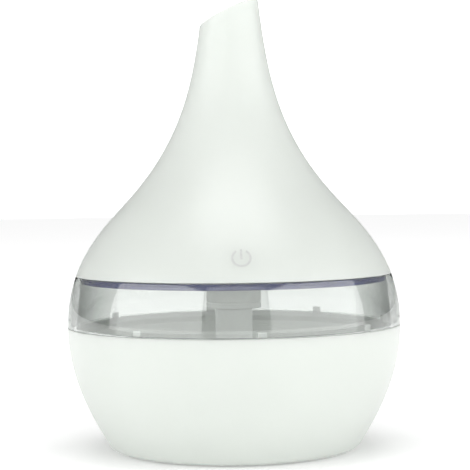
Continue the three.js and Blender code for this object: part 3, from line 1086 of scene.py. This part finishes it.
tubeForm = {
    "r": 6.2, "bore": 4.7, "headR": 7.3, "headZ": 47.6, "floor": 1.6, "drainR": 2.0,
    "slot": 1.2, "slotZ": (12.0, 33.0), "lugR": 8.2, "lugHalf": 1.3, "lugTall": 1.7,
}


def filterTube():
    low, high = heights("filter_tube")
    t = tubeForm
    body = lathe("filterTube", [
        (t["drainR"], low, 0.2), (t["r"], low, 0.9),
        (t["r"], t["headZ"] - 0.2, 0.3), (t["headR"], t["headZ"] + 0.6, 0.3),
        (t["headR"], high, 0.3), (t["bore"], high, 0.3),
        (t["bore"], low + t["floor"], 0.3), (t["drainR"], low + t["floor"], 0.2),
    ], 96)
    slotLow, slotHigh = t["slotZ"]
    tools = []
    for degrees in (0, 90):
        tool = roundBox("slot", (-8, -t["slot"], slotLow), (8, t["slot"], slotHigh), t["slot"] * 0.95, 5)
        tools.append(turnBy(tool, degrees))
    combine(body, tools, "DIFFERENCE")
    lugs = []
    for degrees in (0, 180):
        lugLow = (t["headR"] - 0.4, -t["lugHalf"], high - t["lugTall"])
        lug = roundBox("lug", lugLow, (t["lugR"], t["lugHalf"], high), 0.2)
        lugs.append(turnBy(lug, degrees))
    place(gather(body, lugs), "filter", "white_inner", "filter_tube")


wickForm = {"r": 4.0, "fuzz": 0.09, "rows": 150}


def wickStick():
    low, high = heights("wick")
    r = wickForm["r"]
    outlines = []
    steps = 72
    for i in range(steps):
        angle = 2 * math.pi * i / steps
        outline = [(0.0, low, 0.0), (r - 0.6, low, 0.0)]
        for k in range(wickForm["rows"] + 1):
            z = low + 0.6 + (high - low - 1.2) * k / wickForm["rows"]
            strand = math.sin(17 * angle + 0.21 * z) * math.sin(9 * angle - 0.13 * z + 1.7)
            tuft = math.sin(1.9 * z + 3 * math.sin(5 * angle)) * 0.4
            outline.append((r - wickForm["fuzz"] * (1 + strand * 0.7 + tuft * 0.3), z, 0.0))
        outline += [(r - 0.6, high, 0.0), (0.0, high, 0.0)]
        outlines.append(softened(outline))
    place(loft("wickStick", outlines), "wick", "cotton", "wick")


springForm = {"r": 3.3, "wire": 0.3, "turns": 3.5, "stroke": 3.5}


def wickSpring():
    low, high = heights("wick_spring")
    r, wire = springForm["r"], springForm["wire"]
    steps, sides = 168, 10
    corners, faces = [], []
    for i in range(steps + 1):
        share = i / steps
        turn = 2 * math.pi * (springForm["turns"] + 1) * share
        rise = min(max((share * (springForm["turns"] + 1) - 0.5) / springForm["turns"], 0.0), 1.0)
        z = low + wire + (high - low - 2 * wire) * rise
        outward = Vector((math.cos(turn), math.sin(turn), 0.0))
        for k in range(sides):
            around = 2 * math.pi * k / sides
            spot = outward * (r + wire * math.cos(around)) + Vector((0.0, 0.0, z + wire * math.sin(around)))
            corners.append(spot * mm)
    for i in range(steps):
        for k in range(sides):
            a, b = i * sides + k, i * sides + (k + 1) % sides
            faces.append((a, a + sides, b + sides, b))
    faces.append(tuple(range(sides)))
    faces.append(tuple(steps * sides + k for k in reversed(range(sides))))
    mesh = bpy.data.meshes.new("wickSpring")
    mesh.from_pydata(corners, [], faces)
    coil = made("wickSpring", mesh)
    place(coil, "filter", "steel", "wick_spring")
    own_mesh(coil)


# all pieces

lowerBowl()
windowRing()
windowGasket()
sealRing()
footPads()
upperShell()
powerSymbol()
headPlate()
allScrews()
discGasket()
piezoRing()
meshPlate()
mistFunnel()
neckSeal()
usbSocket()
filterTube()
wickStick()
wickSpring()
print("pieces made")


# stage, light and camera

# the floor glows, and its glow is dimmed close to the object: a painted shade round the object's foot
stageLook = {
    "floor": 8.0, "glow": 0.8, "nearShade": 0.24, "darkR": 0.05, "lightR": 0.25,
    "reach": 3.5, "tall": 3.0, "backGlow": 1.05,
}


def glowFinish(name, strength, nearShade=1.0):
    finish, spot = newFinish(name)
    sweep = spot.grain(3.0)
    reach = spot.flatReach().ramp(stageLook["darkR"], stageLook["lightR"])
    return closeFinish(finish, spot, {
        "Base Color": sweep.tint((0.93, 0.93, 0.93), (0.96, 0.96, 0.96)),
        "Roughness": 0.9,
        # painted shade: the floor glow is darkest close to the axis, round the object's foot
        "Emission Color": reach.tint((nearShade, nearShade, nearShade), (1.0, 1.0, 1.0)),
        "Emission Strength": strength,
    })


def card(name, corners, faces, strength, nearShade=1.0):
    mesh = bpy.data.meshes.new(name)
    mesh.from_pydata(corners, [], faces)
    mesh.materials.append(glowFinish(name, strength, nearShade))
    item = made(name, mesh)
    return item


lights = {
    "surround": 0.15,
    "softboxes": [
        {"from": -91, "to": -21, "radiance": 2.05},
        {"from": -20, "to": 23, "radiance": 0.95},
        {"from": 24, "to": 97, "radiance": 2.0},
    ],
    "distance": 0.9, "low": -0.05, "high": 0.66,
    "top": {"size": 0.8, "height": 1.1, "radiance": 3.6},
}


def stage():
    half = stageLook["floor"] / 2
    square = [(-half, -half, 0), (half, -half, 0), (half, half, 0), (-half, half, 0)]
    card("floor", square, [(0, 1, 2, 3)], stageLook["glow"], stageLook["nearShade"])
    corners, faces = [], []
    steps = 64
    for i in range(steps):
        x = stageLook["reach"] * math.cos(2 * math.pi * i / steps)
        y = stageLook["reach"] * math.sin(2 * math.pi * i / steps)
        corners += [(x, y, 0.0), (x, y, stageLook["tall"])]
        after = (2 * i + 2) % (2 * steps)
        faces.append((2 * i, after, after + 1, 2 * i + 1))
    wall = card("backdrop", corners, faces, stageLook["backGlow"])
    wall.visible_diffuse = False  # a white surround that doesn't light the object
    wall.visible_glossy = False
    wall.visible_shadow = False
    world = bpy.data.worlds.new("studio")
    bpy.context.scene.world = world
    world.use_nodes = True
    background = world.node_tree.nodes["Background"]
    background.inputs["Color"].default_value = (1.0, 1.0, 1.0, 1.0)
    background.inputs["Strength"].default_value = lights["surround"]


def addLight(size, place, radiance):
    data = bpy.data.lights.new("softbox", "AREA")
    data.shape = "RECTANGLE"
    data.size, data.size_y = size
    data.energy = radiance * size[0] * size[1] * math.pi
    lamp = bpy.data.objects.new("softbox", data)
    bpy.context.scene.collection.objects.link(lamp)
    lamp.location = place
    return lamp


def softboxes():
    reach, low, high = lights["distance"], lights["low"], lights["high"]
    for box in lights["softboxes"]:
        middle = math.radians((box["from"] + box["to"]) / 2)
        spread = math.radians((box["to"] - box["from"]) / 2)
        x, y = reach * math.sin(middle), -reach * math.cos(middle)
        size = (2 * reach * math.tan(spread), high - low)
        lamp = addLight(size, (x, y, (low + high) / 2), box["radiance"])
        lamp.rotation_euler = Vector((-x, -y, 0.0)).to_track_quat("-Z", "Y").to_euler()
    top = lights["top"]
    addLight((top["size"], top["size"]), (0.0, 0.0, top["height"]), top["radiance"])


view = {"distance": 0.562, "height": 0.0906, "lens": 128.4, "down": 1.94, "right": 0.07, "roll": 0.70}


def setCamera():
    data = bpy.data.cameras.new("camera")
    data.lens = view["lens"]
    data.sensor_width = 36.0
    data.clip_start = 0.01
    camera = bpy.data.objects.new("camera", data)
    bpy.context.scene.collection.objects.link(camera)
    camera.location = (0.0, -view["distance"], view["height"])
    aim = Euler((math.radians(90 - view["down"]), 0.0, math.radians(-view["right"]))).to_quaternion()
    roll = Euler((0.0, 0.0, math.radians(-view["roll"]))).to_quaternion()
    camera.rotation_mode = "QUATERNION"
    camera.rotation_quaternion = aim @ roll
    bpy.context.scene.camera = camera


stage()
softboxes()
setCamera()
bpy.context.scene.view_settings.view_transform = "Standard"
print("stage set")
